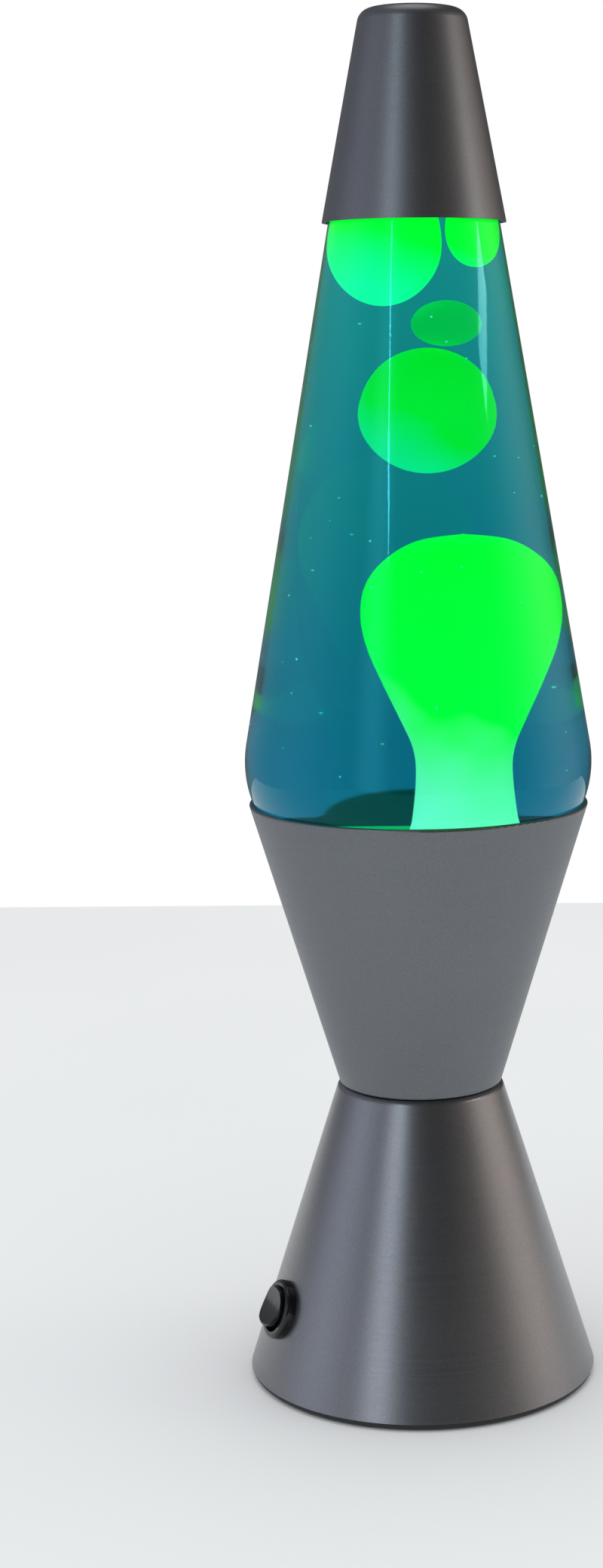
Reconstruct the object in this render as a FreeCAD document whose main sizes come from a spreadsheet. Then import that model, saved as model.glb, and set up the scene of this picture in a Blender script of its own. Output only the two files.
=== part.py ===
"""Lava lamp: two spun cones, a bottle of liquid and wax, a bulb below it and a cap on top.

Millimetres, +Z up, the lamp's axis is Z and the table is z = 0. -Y is the front of the lamp.
Every driving dimension is a named cell of the sheet "dims", and the sketches are bound to it.
"""
import FreeCAD
import Part
import math
import os

import Sketcher

DIMENSIONS = {
    # whole lamp
    "total_height": 365.0,
    "sheet_metal": 0.9,
    # base cone
    "base_radius": 47.5,
    "base_edge_height": 2.0,
    "base_shoulder_radius": 22.3,
    "waist_height": 82.0,
    "web_hole_radius": 14.2,
    "base_shoulder_round": 2.0,
    # bottom cover and its ring
    "cover_radius": 47.1,
    "cover_underside": 0.5,
    "ring_inner_radius": 41.6,
    "boss_circle_radius": 38.5,
    "foot_circle_radius": 33.0,
    "foot_radius": 5.0,
    "screw_radius": 1.5,
    # cup
    "cup_foot_radius": 22.0,
    "cup_rim_radius": 45.6,
    "cup_rim_height": 159.3,
    # bottle
    "bottle_foot_height": 139.0,
    "bottle_foot_radius": 38.1,
    "bottle_belly_radius": 47.2,
    "bottle_belly_height": 168.1,
    "belly_round": 30.0,
    "shoulder_radius": 21.2,
    "shoulder_height": 317.8,
    "neck_radius": 10.6,
    "neck_start_height": 328.0,
    "finish_radius": 13.2,
    "bottle_top_height": 343.0,
    "glass_wall": 2.5,
    # cap
    "cap_rim_radius": 24.0,
    "cap_rim_height": 311.3,
    "cap_top_radius": 13.65,
    "cap_top_round": 3.8,
    # lampholder and bulb
    "holder_radius": 13.9,
    "holder_floor_height": 62.0,
    "holder_top_height": 93.0,
    "bulb_tip_height": 70.0,
    "bulb_shell_radius": 6.9,
    "bulb_radius": 19.5,
    "bulb_top_height": 136.0,
    # switch and cord hole
    "switch_height": 21.8,
    "switch_azimuth": 202.0,
    "switch_bezel_radius": 8.0,
    "switch_barrel_radius": 7.0,
    "rocker_radius": 5.6,
    "rocker_tilt": -8.0,
    "cord_height": 13.0,
    "cord_bore_radius": 3.3,
    # wax
    "column_offset": 9.0,
    # wiring
    "wire_radius": 1.1,
}

doc = FreeCAD.newDocument("lava_lamp")
sheet = doc.addObject("Spreadsheet::Sheet", "dims")
for row, (alias, number) in enumerate(DIMENSIONS.items(), start=1):
    sheet.set(f"A{row}", str(number))
    sheet.setAlias(f"A{row}", alias)
doc.recompute()


class Size:
    """A length with the sheet formula that gives it, so that a sketch can be bound to it."""

    def __init__(self, value, formula=None):
        self.value = float(value)
        self.formula = formula or repr(float(value))

    @staticmethod
    def of(other):
        return other if isinstance(other, Size) else Size(other)

    def __add__(self, other):
        other = Size.of(other)
        return Size(self.value + other.value, f"({self.formula} + {other.formula})")

    def __sub__(self, other):
        other = Size.of(other)
        return Size(self.value - other.value, f"({self.formula} - {other.formula})")

    def __mul__(self, other):
        other = Size.of(other)
        return Size(self.value * other.value, f"({self.formula} * {other.formula})")

    def __truediv__(self, other):
        other = Size.of(other)
        return Size(self.value / other.value, f"({self.formula} / {other.formula})")

    __radd__ = __add__
    __rmul__ = __mul__

    def __rsub__(self, other):
        return Size.of(other) - self


def size(alias):
    """The named cell of the sheet, as a Size."""
    return Size(getattr(sheet, alias), f"dims.{alias}")


def number(alias):
    """The plain number in a named cell."""
    return getattr(sheet, alias)


SHEET = size("sheet_metal")
WAIST = size("waist_height")
BASE_EDGE = size("base_edge_height")
BASE_SLOPE = (size("base_radius") - size("base_shoulder_radius")) / (WAIST - BASE_EDGE)
CUP_SLOPE = (size("cup_rim_radius") - size("cup_foot_radius")) / (size("cup_rim_height") - WAIST)
GLASS_SLOPE = (size("bottle_belly_radius") - size("shoulder_radius")) / (
    size("shoulder_height") - size("bottle_belly_height"))
CAP_SLOPE = (size("cap_rim_radius") - size("cap_top_radius")) / (
    size("total_height") - size("cap_rim_height"))


def base_radius_at(height):
    """Outer radius of the base cone at a height."""
    return size("base_radius") - BASE_SLOPE * (height - BASE_EDGE)


def cup_radius_at(height):
    """Outer radius of the cup at a height."""
    return size("cup_foot_radius") + CUP_SLOPE * (height - WAIST)


def origin_plane(body, role):
    """One of a body's own origin planes, such as XZ_Plane."""
    for feature in body.Origin.OriginFeatures:
        if feature.Role == role:
            return feature
    raise ValueError(role)


def new_body(label):
    body = doc.addObject("PartDesign::Body", label)
    body.Label = label
    return body


def new_sketch(body, role, name):
    sketch = body.newObject("Sketcher::SketchObject", name)
    sketch.AttachmentSupport = [(origin_plane(body, role), "")]
    sketch.MapMode = "FlatFace"
    return sketch


def bind(sketch, kind, args, length):
    """Add one dimension to a sketch and bind it to its formula."""
    index = sketch.addConstraint(Sketcher.Constraint(kind, *args, length.value))
    sketch.setExpression(f"Constraints[{index}]", length.formula)


def outline(sketch, points):
    """A closed outline of straight lines, every corner bound to its own two sizes."""
    corners = [(Size.of(x), Size.of(y)) for x, y in points]
    places = [FreeCAD.Vector(x.value, y.value, 0) for x, y in corners]
    first = sketch.GeometryCount
    count = len(places)
    for i, place in enumerate(places):
        sketch.addGeometry(Part.LineSegment(place, places[(i + 1) % count]), False)
    for i in range(count):
        following = first + (i + 1) % count
        sketch.addConstraint(Sketcher.Constraint("Coincident", first + i, 2, following, 1))
    for i, (x, y) in enumerate(corners):
        for kind, length in (("DistanceX", x), ("DistanceY", y)):
            if abs(length.value) < 1e-9:
                on_axis = -2 if kind == "DistanceX" else -1
                fixed = Sketcher.Constraint("PointOnObject", first + i, 1, on_axis)
                sketch.addConstraint(fixed)
            else:
                bind(sketch, kind, (-1, 1, first + i, 1), length)


def circle(sketch, x, y, radius):
    """A full circle, its centre and radius bound to their sizes."""
    x, y, radius = Size.of(x), Size.of(y), Size.of(radius)
    index = sketch.addGeometry(
        Part.Circle(FreeCAD.Vector(x.value, y.value, 0), FreeCAD.Vector(0, 0, 1), radius.value), False)
    bind(sketch, "Radius", (index,), radius)
    for kind, length, axis in (("DistanceX", x, -2), ("DistanceY", y, -1)):
        if abs(length.value) < 1e-9:
            sketch.addConstraint(Sketcher.Constraint("PointOnObject", index, 3, axis))
        else:
            bind(sketch, kind, (-1, 1, index, 3), length)


def turned(label, points, body=None):
    """A body turned about Z from an outline of (radius, height) points."""
    body = body or new_body(label)
    sketch = new_sketch(body, "XZ_Plane", f"{label}_outline_{len(body.Group)}")
    outline(sketch, points)
    turn = body.newObject("PartDesign::Revolution", f"{label}_turn_{len(body.Group)}")
    turn.Profile = sketch
    turn.ReferenceAxis = (sketch, ["V_Axis"])
    turn.Angle = 360.0
    body.Tip = turn
    doc.recompute()
    return body


def padded(label, draw, start, depth, body=None):
    """A body with a pad along Z: draw(sketch) fills the sketch, which sits at height start."""
    body = body or new_body(label)
    sketch = new_sketch(body, "XY_Plane", f"{label}_plan_{len(body.Group)}")
    start, depth = Size.of(start), Size.of(depth)
    sketch.AttachmentOffset = FreeCAD.Placement(
        FreeCAD.Vector(0, 0, start.value), FreeCAD.Rotation())
    sketch.setExpression("AttachmentOffset.Base.z", f"{start.formula} * 1 mm")
    draw(sketch)
    pad = body.newObject("PartDesign::Pad", f"{label}_pad_{len(body.Group)}")
    pad.Profile = sketch
    pad.Length = depth.value
    pad.setExpression("Length", f"{depth.formula} * 1 mm")
    body.Tip = pad
    doc.recompute()
    return body


def rounded(body, rings, radius):
    """Round the circular edges at the given (radius, height) rings of a turned body."""
    radius = Size.of(radius)
    names = []
    for number, edge in enumerate(body.Shape.Edges, start=1):
        curve = edge.Curve
        if not isinstance(curve, Part.Circle):
            continue
        for ring_radius, height in rings:
            ring_radius, height = Size.of(ring_radius), Size.of(height)
            near_radius = abs(curve.Radius - ring_radius.value) < 0.02
            if near_radius and abs(curve.Center.z - height.value) < 0.02:
                names.append(f"Edge{number}")
    if len(names) != len(rings):
        raise ValueError(f"{body.Label}: {len(names)} rings found of {len(rings)}")
    support = body.Tip
    fillet = body.newObject("PartDesign::Fillet", f"{body.Label}_round_{len(body.Group)}")
    fillet.Base = (support, names)
    fillet.Radius = radius.value
    fillet.setExpression("Radius", f"{radius.formula} * 1 mm")
    body.Tip = fillet
    doc.recompute()
    return body


def simple(label, shape, place=None):
    """A sub-part whose shape is made directly with Part's own functions."""
    feature = doc.addObject("Part::Feature", label)
    feature.Label = label
    feature.Shape = shape
    if place is not None:
        feature.Placement = place
    return feature


def joined(shapes):
    """One shape from several that touch or overlap."""
    whole = shapes[0]
    for other in shapes[1:]:
        whole = whole.fuse(other)
    return whole.removeSplitter()


def vector(x, y, z):
    return FreeCAD.Vector(x, y, z)


def cylinder(radius, height, x=0.0, y=0.0, z=0.0):
    return Part.makeCylinder(radius, height, vector(x, y, z))


# --- spun metal shells ---------------------------------------------------------------------------

def make_base_cone():
    """The lower cone: a spun shell with a web across its top, clamped by the lampholder."""
    low, high = BASE_EDGE, WAIST
    web = high - SHEET
    wall = SHEET * 1.05
    cone = turned("base_cone", [
        (size("base_radius"), low),
        (size("base_shoulder_radius"), high),
        (size("web_hole_radius"), high),
        (size("web_hole_radius"), web),
        (base_radius_at(web) - wall, web),
        (size("base_radius") - wall, low),
    ])
    rounded(cone, [(size("base_shoulder_radius"), high)], size("base_shoulder_round"))
    return cone


def make_cup():
    """The upper cone, standing on the lower one, with a small rolled edge at its rim."""
    rim = size("cup_rim_height")
    wall = SHEET * 1.05
    inner_rim = size("cup_rim_radius") - wall
    cup = turned("cup", [
        (size("web_hole_radius"), WAIST),
        (size("cup_foot_radius"), WAIST),
        (size("cup_rim_radius"), rim),
        (inner_rim, rim),
        (cup_radius_at(WAIST + SHEET) - wall, WAIST + SHEET),
        (size("web_hole_radius"), WAIST + SHEET),
    ])
    rounded(cup, [(size("cup_foot_radius"), WAIST)], 0.8)
    rounded(cup, [(size("cup_rim_radius"), rim)], 0.55)
    return cup


def make_cap():
    """The top cone: a spun shell, closed on top, open below."""
    rim, top = size("cap_rim_height"), size("total_height")
    wall = SHEET * 1.02
    inner_top = size("cap_top_radius") + CAP_SLOPE * SHEET - wall
    cap = turned("cap", [
        (size("cap_rim_radius") - wall, rim),
        (size("cap_rim_radius"), rim),
        (size("cap_top_radius"), top),
        (0, top),
        (0, top - SHEET),
        (inner_top, top - SHEET),
    ])
    rounded(cap, [(size("cap_top_radius"), top)], size("cap_top_round"))
    rounded(cap, [(inner_top, top - SHEET)], size("cap_top_round") - SHEET)
    return cap


CAP_RING_LOW = 313.0
CAP_RING_HIGH = 319.0
RING_TO_METAL = 0.03
RING_TO_GLASS = 0.3


def make_cap_ring():
    """A soft ring glued inside the cap, which steadies it on the bottle's shoulder."""
    low, high = CAP_RING_LOW, CAP_RING_HIGH

    def inside(height):
        return size("cap_rim_radius") - CAP_SLOPE * (height - size("cap_rim_height")) - SHEET * 1.02

    inner_low = size("shoulder_radius") + GLASS_SLOPE * (size("shoulder_height") - low)
    return turned("cap_ring", [
        (inside(low) - RING_TO_METAL, low),
        (inside(high) - RING_TO_METAL, high),
        (size("shoulder_radius") + RING_TO_GLASS, high),
        (inner_low + RING_TO_GLASS, low),
    ])


# --- base: cover, ring, screws, pads -------------------------------------------------------------

BOSSES = 3
FEET = 4
BOSS_START = 30.0
FOOT_START = 45.0
BOSS_RADIUS = 3.6
BOSS_TOP = 14.0
COVER_TOP = 1.95
COVER_RIM_TOP = 5.0
COVER_RIM_INSET = 2.2
HEAD_RADIUS = 2.9
HEAD_RECESS = 1.1
PAD_RECESS = 1.2
HOLE_CLEARANCE = 0.2
VENT_RADIUS = 1.6
VENT_CIRCLES = (12.0, 17.0, 22.0)
VENTS_PER_CIRCLE = 8
RING_LOW = 5.3
RING_HIGH = 6.8
PILOT_DEPTH = 12.0


def ring_of(count, radius, start_deg=0.0):
    """Places equally spaced on a circle about the axis."""
    step = 360.0 / count
    angles = [math.radians(start_deg + i * step) for i in range(count)]
    return [(radius * math.cos(a), radius * math.sin(a)) for a in angles]


def make_bottom_cover():
    """The black moulded cover: a disc, an upstanding rim, recesses for the pads, vent slots."""
    low = size("cover_underside")
    rim_outer = size("base_radius") - COVER_RIM_INSET
    cover = turned("bottom_cover", [
        (0, low),
        (size("cover_radius") - 0.5, low),
        (size("cover_radius"), low + 0.5),
        (size("cover_radius"), COVER_TOP),
        (rim_outer, COVER_TOP),
        (rim_outer - 0.9, COVER_RIM_TOP),
        (rim_outer - 2.5, COVER_RIM_TOP),
        (rim_outer - 2.5, COVER_TOP + 0.3),
        (0, COVER_TOP + 0.3),
    ])
    boss_x, boss_y = ring_of(BOSSES, number("boss_circle_radius"), BOSS_START)[0]
    cut_holes(cover, "screw_hole", [(boss_x, boss_y, number("screw_radius") + HOLE_CLEARANCE)],
              BOSSES)
    cut_holes(cover, "head_recess", [(boss_x, boss_y, HEAD_RADIUS + HOLE_CLEARANCE)], BOSSES,
              depth=HEAD_RECESS)
    pad_x, pad_y = ring_of(FEET, number("foot_circle_radius"), FOOT_START)[0]
    cut_holes(cover, "pad_recess", [(pad_x, pad_y, number("foot_radius") + 0.1)], FEET,
              depth=PAD_RECESS)
    vents = [(radius, 0.0, VENT_RADIUS) for radius in VENT_CIRCLES]
    cut_holes(cover, "vent", vents, VENTS_PER_CIRCLE)
    return cover


def cut_holes(body, name, circles, count, depth=None):
    """Pocket round holes up from below and repeat them about the axis."""
    before = body.Shape.Volume
    sketch = new_sketch(body, "XY_Plane", f"{body.Label}_{name}_plan")
    for x, y, radius in circles:
        circle(sketch, x, y, radius)
    pocket = body.newObject("PartDesign::Pocket", f"{body.Label}_{name}")
    pocket.Profile = sketch
    pocket.Reversed = True
    if depth is None:
        pocket.Type = "ThroughAll"
    else:
        pocket.Length = depth + number("cover_underside")
    body.Tip = pocket
    doc.recompute()
    pattern = body.newObject("PartDesign::PolarPattern", f"{body.Label}_{name}_pattern")
    pattern.Originals = [pocket]
    pattern.Axis = (origin_plane(body, "Z_Axis"), [""])
    pattern.Angle = 360.0
    pattern.Occurrences = count
    body.Tip = pattern
    doc.recompute()
    if body.Shape.Volume >= before:
        raise ValueError(f"{body.Label}: {name} cut nothing")


def make_foot_pads():
    """Four rubber pads, glued in the cover's recesses and standing half a millimetre proud."""
    top = number("cover_underside") + PAD_RECESS
    shapes = []
    for x, y in ring_of(FEET, number("foot_circle_radius"), FOOT_START):
        pad = cylinder(number("foot_radius"), top, x, y)
        low_edge = [edge for edge in pad.Edges if edge.CenterOfMass.z < 0.01]
        shapes.append(pad.makeFillet(0.4, low_edge))
    return simple("foot_pads", Part.makeCompound(shapes))


def make_screw_ring():
    """The moulded ring held in the base's rolled edge, with three bosses for the cover's screws."""
    low, high = RING_LOW, RING_HIGH
    inner = size("ring_inner_radius")
    outer = base_radius_at(Size(high)) - SHEET * 1.05 - 0.1
    outer_low = base_radius_at(Size(low)) - SHEET * 1.05 - 0.1
    ring = turned("screw_ring", [
        (inner, low), (outer_low, low), (outer, high), (inner, high),
    ])

    def bosses(sketch):
        for x, y in ring_of(BOSSES, number("boss_circle_radius"), BOSS_START):
            circle(sketch, x, y, BOSS_RADIUS)

    padded("screw_ring", bosses, low, BOSS_TOP - low, ring)
    x, y = ring_of(BOSSES, number("boss_circle_radius"), BOSS_START)[0]
    cut_holes(ring, "pilot", [(x, y, number("screw_radius") + 0.02)], BOSSES,
              depth=PILOT_DEPTH)
    return ring


def make_cover_screws():
    """Three pan-head screws, driven up through the cover into the ring's bosses."""
    head_low, head_high, tip = 0.62, 1.58, 12.0
    slot_width, slot_depth = 0.7, 0.5
    shapes = []
    for x, y in ring_of(BOSSES, number("boss_circle_radius"), BOSS_START):
        shank = cylinder(number("screw_radius"), tip - head_low, x, y, head_low)
        head = cylinder(HEAD_RADIUS, head_high - head_low, x, y, head_low)
        for length, width in ((3.6, slot_width), (slot_width, 3.6)):
            corner = vector(x - length / 2, y - width / 2, head_low)
            head = head.cut(Part.makeBox(length, width, slot_depth, corner))
            shank = shank.cut(Part.makeBox(length, width, slot_depth, corner))
        shapes.append(joined([shank, head]))
    return simple("cover_screws", Part.makeCompound(shapes))


# --- switch and cord inlet, both square to the base cone's surface -------------------------------

CONE_TILT = math.degrees(math.atan(BASE_SLOPE.value))


def on_cone(azimuth_deg, height, outward=0.0):
    """A placement on the base cone: local Z points out of the surface, local Y up the slant."""
    azimuth, tilt = math.radians(azimuth_deg), math.radians(CONE_TILT)
    outwards = vector(
        math.cos(azimuth) * math.cos(tilt), math.sin(azimuth) * math.cos(tilt), math.sin(tilt))
    sideways = vector(-math.sin(azimuth), math.cos(azimuth), 0)
    upwards = outwards.cross(sideways)
    radius = base_radius_at(Size(height)).value
    foot = vector(radius * math.cos(azimuth), radius * math.sin(azimuth), height)
    turn = FreeCAD.Rotation(sideways, upwards, outwards, "ZXY")
    return FreeCAD.Placement(foot + outwards * outward, turn)


SWITCH_PLACE = on_cone(number("switch_azimuth"), number("switch_height"))
CORD_PLACE = on_cone(90.0, number("cord_height"))


def solid_cone(grow):
    """The base cone as a full solid, grown outward by a small distance."""
    low, high = number("base_edge_height"), number("waist_height")
    return Part.makeCone(
        number("base_radius") + grow, number("base_shoulder_radius") + grow, high - low,
        vector(0, 0, low))


def placed(shape, place):
    copy = shape.copy()
    copy.Placement = place.multiply(copy.Placement)
    return copy


def cut_wall(cone, name, place, radius):
    """A round hole through the base cone's wall, square to its surface."""
    drill = doc.addObject("Part::Cylinder", f"{name}_drill")
    drill.Radius = radius.value
    drill.setExpression("Radius", f"{radius.formula} * 1 mm")
    drill.Height = 12.0
    drill.Placement = place.multiply(FreeCAD.Placement(vector(0, 0, -6.0), FreeCAD.Rotation()))
    cut = doc.addObject("Part::Cut", name)
    cut.Base = cone
    cut.Tool = drill
    doc.recompute()
    return cut


PIVOT_DEPTH = -1.4
PIVOT_RADIUS = 0.9
HOUSING_DEPTH = 13.0
HOUSING_LIP = 2.2
BLADE_OFFSETS = (-3.2, 3.2)
ROCKER_CROWN = 4.2
ROCKER_DISH_RADIUS = 14.0


def make_switch():
    """A round rocker switch: bezel and barrel, a tilting rocker, two blades at the back."""
    bezel = number("switch_bezel_radius")
    barrel = number("switch_barrel_radius")
    rocker_radius = number("rocker_radius")
    lip_top, depth = HOUSING_LIP, HOUSING_DEPTH
    flange = Part.makeCylinder(bezel, lip_top + 2.0, vector(0, 0, -2.0))
    rim = [e for e in flange.Edges if e.CenterOfMass.z > lip_top - 0.01]
    flange = flange.makeFillet(0.9, rim)
    seat = placed(solid_cone(0.03), SWITCH_PLACE.inverse())
    flange = flange.cut(seat)
    tube = Part.makeCylinder(barrel, depth + 2.0, vector(0, 0, -depth))
    back = Part.makeCylinder(barrel, 1.2, vector(0, 0, -depth))
    hollow = Part.makeCylinder(rocker_radius + 0.7, depth + 6.0, vector(0, 0, -depth + 1.2))
    housing = joined([flange, tube, back])
    housing = housing.cut(hollow)
    for y in BLADE_OFFSETS:
        slot = Part.makeBox(5.0, 1.1, 4.0, vector(-2.5, y - 0.55, -depth - 1.0))
        housing = housing.cut(slot)
    pin = Part.makeCylinder(
        PIVOT_RADIUS + 0.05, 2 * barrel, vector(-barrel, 0, PIVOT_DEPTH), vector(1, 0, 0))
    housing = housing.cut(pin)
    simple("switch_housing", housing, SWITCH_PLACE)

    blades = []
    for y in BLADE_OFFSETS:
        blade = Part.makeBox(4.6, 0.8, 9.0, vector(-2.3, y - 0.4, -depth - 6.0))
        eye = Part.makeCylinder(0.7, 3.0, vector(0, y - 1.5, -depth - 4.0), vector(0, 1, 0))
        blades.append(blade.cut(eye))
    simple("switch_terminals", Part.makeCompound(blades), SWITCH_PLACE)

    crown, dish_radius = ROCKER_CROWN, ROCKER_DISH_RADIUS
    body = Part.makeCylinder(rocker_radius, crown + 0.8, vector(0, 0, -0.8))
    body = body.makeFillet(0.7, [e for e in body.Edges if e.CenterOfMass.z > crown - 0.01])
    dish = Part.makeCylinder(
        dish_radius, 4 * rocker_radius, vector(-2 * rocker_radius, 0, crown + dish_radius - 0.9),
        vector(1, 0, 0))
    body = body.cut(dish)
    axle = Part.makeCylinder(
        PIVOT_RADIUS, 2 * barrel - 0.4, vector(-barrel + 0.2, 0, PIVOT_DEPTH), vector(1, 0, 0))
    hub = Part.makeCylinder(
        2.1, 2 * rocker_radius - 1.0, vector(-rocker_radius + 0.5, 0, PIVOT_DEPTH), vector(1, 0, 0))
    body = joined([body, hub, axle])
    pivot = vector(0, 0, PIVOT_DEPTH)
    tilt = FreeCAD.Rotation(vector(1, 0, 0), number("rocker_tilt"))
    tipped = FreeCAD.Placement(vector(0, 0, 0), tilt, pivot)
    simple("switch_rocker", body, SWITCH_PLACE.multiply(tipped))


BUSH_WALL = 1.6
FLANGE_WIDTH = 3.2
FLANGE_HEIGHT = 2.0
CLAMP_WIDTH = 2.9
CLAMP_LENGTH = 3.0
BUSH_DEPTH = 8.0


def make_cord_grommet():
    """The strain-relief bush at the back: a flange outside, a neck through the wall, a clamp inside."""
    bore = number("cord_bore_radius")
    sunk = 2.0
    flange = Part.makeCylinder(bore + FLANGE_WIDTH, FLANGE_HEIGHT + sunk, vector(0, 0, -sunk))
    rim = [e for e in flange.Edges if e.CenterOfMass.z > FLANGE_HEIGHT - 0.01]
    flange = flange.makeFillet(1.2, rim)
    seat = placed(solid_cone(0.03), CORD_PLACE.inverse())
    flange = flange.cut(seat)
    inner_end = vector(0, 0, -BUSH_DEPTH)
    tube = Part.makeCylinder(bore + BUSH_WALL, BUSH_DEPTH + 1.0, inner_end)
    collar = Part.makeCylinder(bore + CLAMP_WIDTH, CLAMP_LENGTH, inner_end)
    drill = Part.makeCylinder(bore, 2 * BUSH_DEPTH, vector(0, 0, -BUSH_DEPTH - 1.0))
    bush = joined([flange, tube, collar]).cut(drill)
    simple("cord_grommet", bush, CORD_PLACE)


# --- lampholder, clamp rings and wiring ----------------------------------------------------------

E14_PITCH = 2.82
SHELL_GAP = 0.25
DOME_HOLE = 4.4
DOME_LOW = 43.0
STRAP_OFFSETS = (-4.5, 7.0)
THREAD_TURNS = 8
THREAD_PITCH = 2.5
CLAMP_RADIUS = 17.6
CLAMP_HEIGHT = 5.0
GRIP_NOTCHES = 8


def make_lampholder():
    """The E14 holder: a threaded skirt through both webs, a rear dome, and its brass parts."""
    floor, top = size("holder_floor_height"), size("holder_top_height")
    outer = size("holder_radius")
    bore = size("bulb_shell_radius") + SHELL_GAP + 1.0
    skirt = turned("lampholder_body", [
        (0, floor), (outer, floor), (outer, top), (bore, top), (bore, floor + 4.0), (0, floor + 4.0)])
    rounded(skirt, [(outer, top)], 0.8)
    for turn in range(THREAD_TURNS):
        radius, height = outer - 0.6, floor + 9.0 + THREAD_PITCH * turn
        sketch = new_sketch(skirt, "XZ_Plane", f"thread_outline_{len(skirt.Group)}")
        outline(sketch, [(radius, height), (outer + 0.5, height - 0.4), (outer + 0.5, height + 0.4)])
        cut = skirt.newObject("PartDesign::Groove", f"thread_{len(skirt.Group)}")
        cut.Profile = sketch
        cut.ReferenceAxis = (sketch, ["V_Axis"])
        cut.Angle = 360.0
        skirt.Tip = cut
        doc.recompute()
    slot_sketch = new_sketch(skirt, "XY_Plane", "strap_plan")
    slot_sketch.AttachmentOffset = FreeCAD.Placement(
        vector(0, 0, floor.value), FreeCAD.Rotation())
    for x in STRAP_OFFSETS:
        circle(slot_sketch, x, 0, 1.4)
    before = skirt.Shape.Volume
    slots = skirt.newObject("PartDesign::Pocket", "strap_holes")
    slots.Profile = slot_sketch
    slots.Reversed = True
    slots.Length = 6.0
    skirt.Tip = slots
    doc.recompute()
    if skirt.Shape.Volume >= before:
        raise ValueError("the lampholder's strap holes cut nothing")

    dome_low, wall = DOME_LOW, 1.6
    dome = turned("lampholder_dome", [
        (DOME_HOLE, dome_low), (outer - 3.0, dome_low), (outer, dome_low + 4.0), (outer, floor),
        (outer - wall, floor), (outer - wall, dome_low + 4.6), (outer - 3.6, dome_low + wall),
        (DOME_HOLE, dome_low + wall)])
    rounded(dome, [(outer, dome_low + 4.0)], 1.5)

    inner = size("bulb_shell_radius") + SHELL_GAP
    turned("lampholder_shell", [
        (inner, floor + 11.0), (inner + 0.5, floor + 11.0), (inner + 0.5, top - 5.0),
        (inner, top - 5.0)])

    strip = Part.makeBox(9.0, 3.0, 0.5, vector(-4.5, -1.5, number("bulb_tip_height") - 0.6))
    spring_leg = Part.makeBox(0.5, 3.0, 2.2, vector(-4.5, -1.5, number("bulb_tip_height") - 2.8))
    simple("lampholder_contact", joined([strip, spring_leg]))

    blocks = []
    for x in STRAP_OFFSETS:
        block = Part.makeBox(5.0, 6.0, 7.0, vector(x - 2.5, -3.0, 54.8))
        screw = Part.makeCylinder(1.6, 3.0, vector(x, 3.0, 57.5), vector(0, 1, 0))
        wire_hole = Part.makeCylinder(1.25, 3.5, vector(x, 0, 54.8))
        tongue = cylinder(1.0, 4.6 if x > 0 else 3.6, x, 0, 61.8)
        blocks.append(joined([block.cut(wire_hole), screw, tongue]))
    simple("lampholder_terminals", Part.makeCompound(blocks))


def make_clamp_ring(label, low, high):
    """A moulded ring on the holder's thread, with eight grip notches round its edge."""
    ring = turned(label, [
        (size("holder_radius") + 0.1, low), (CLAMP_RADIUS, low), (CLAMP_RADIUS, high),
        (size("holder_radius") + 0.1, high)])
    rounded(ring, [(CLAMP_RADIUS, low if label.endswith("lower") else high)], 0.8)
    sketch = new_sketch(ring, "XY_Plane", f"{label}_notch_plan")
    sketch.AttachmentOffset = FreeCAD.Placement(
        vector(0, 0, Size.of(low).value - 1.0), FreeCAD.Rotation())
    circle(sketch, CLAMP_RADIUS + 0.8, 0, 1.5)
    before = ring.Shape.Volume
    notch = ring.newObject("PartDesign::Pocket", f"{label}_notch")
    notch.Profile = sketch
    notch.Reversed = True
    notch.Length = CLAMP_HEIGHT + 3.0
    ring.Tip = notch
    doc.recompute()
    pattern = ring.newObject("PartDesign::PolarPattern", f"{label}_notches")
    pattern.Originals = [notch]
    pattern.Axis = (origin_plane(ring, "Z_Axis"), [""])
    pattern.Angle = 360.0
    pattern.Occurrences = GRIP_NOTCHES
    ring.Tip = pattern
    doc.recompute()
    if ring.Shape.Volume >= before:
        raise ValueError(f"{label}: the notches cut nothing")


BLOCK_Y, BLOCK_Z = 21.0, 2.35
BLOCK_POLES = (-5.0, 5.0)
POLE_RISE = 4.2


def make_terminal_block():
    """A two-pole connector on the cover, where the mains cord would be landed."""
    length, depth, height = 20.0, 11.0, 10.0
    corner = vector(-length / 2, BLOCK_Y - depth / 2, BLOCK_Z)
    body = Part.makeBox(length, depth, height, corner)
    middle = BLOCK_Z + height / 2
    body = body.makeFillet(0.8, [e for e in body.Edges if abs(e.CenterOfMass.z - middle) < 0.01])
    inserts = []
    for x in BLOCK_POLES:
        bore = Part.makeCylinder(
            2.6, depth + 2, vector(x, BLOCK_Y - depth / 2 - 1, BLOCK_Z + POLE_RISE), vector(0, 1, 0))
        access = cylinder(2.3, 6.0, x, BLOCK_Y, BLOCK_Z + 5.0)
        body = body.cut(bore).cut(access)
        tube = Part.makeCylinder(2.5, 9.0, vector(x, BLOCK_Y - 4.5, BLOCK_Z + POLE_RISE), vector(0, 1, 0))
        tube = tube.cut(Part.makeCylinder(
            1.4, 9.0, vector(x, BLOCK_Y - 4.5, BLOCK_Z + POLE_RISE), vector(0, 1, 0)))
        screw = cylinder(1.7, 4.6, x, BLOCK_Y, BLOCK_Z + 5.0)
        slot = Part.makeBox(3.6, 0.6, 0.8, vector(x - 1.8, BLOCK_Y - 0.3, BLOCK_Z + 9.0))
        inserts.append(joined([tube, screw]).cut(slot))
    simple("terminal_block", body)
    simple("terminal_inserts", Part.makeCompound(inserts))


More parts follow.
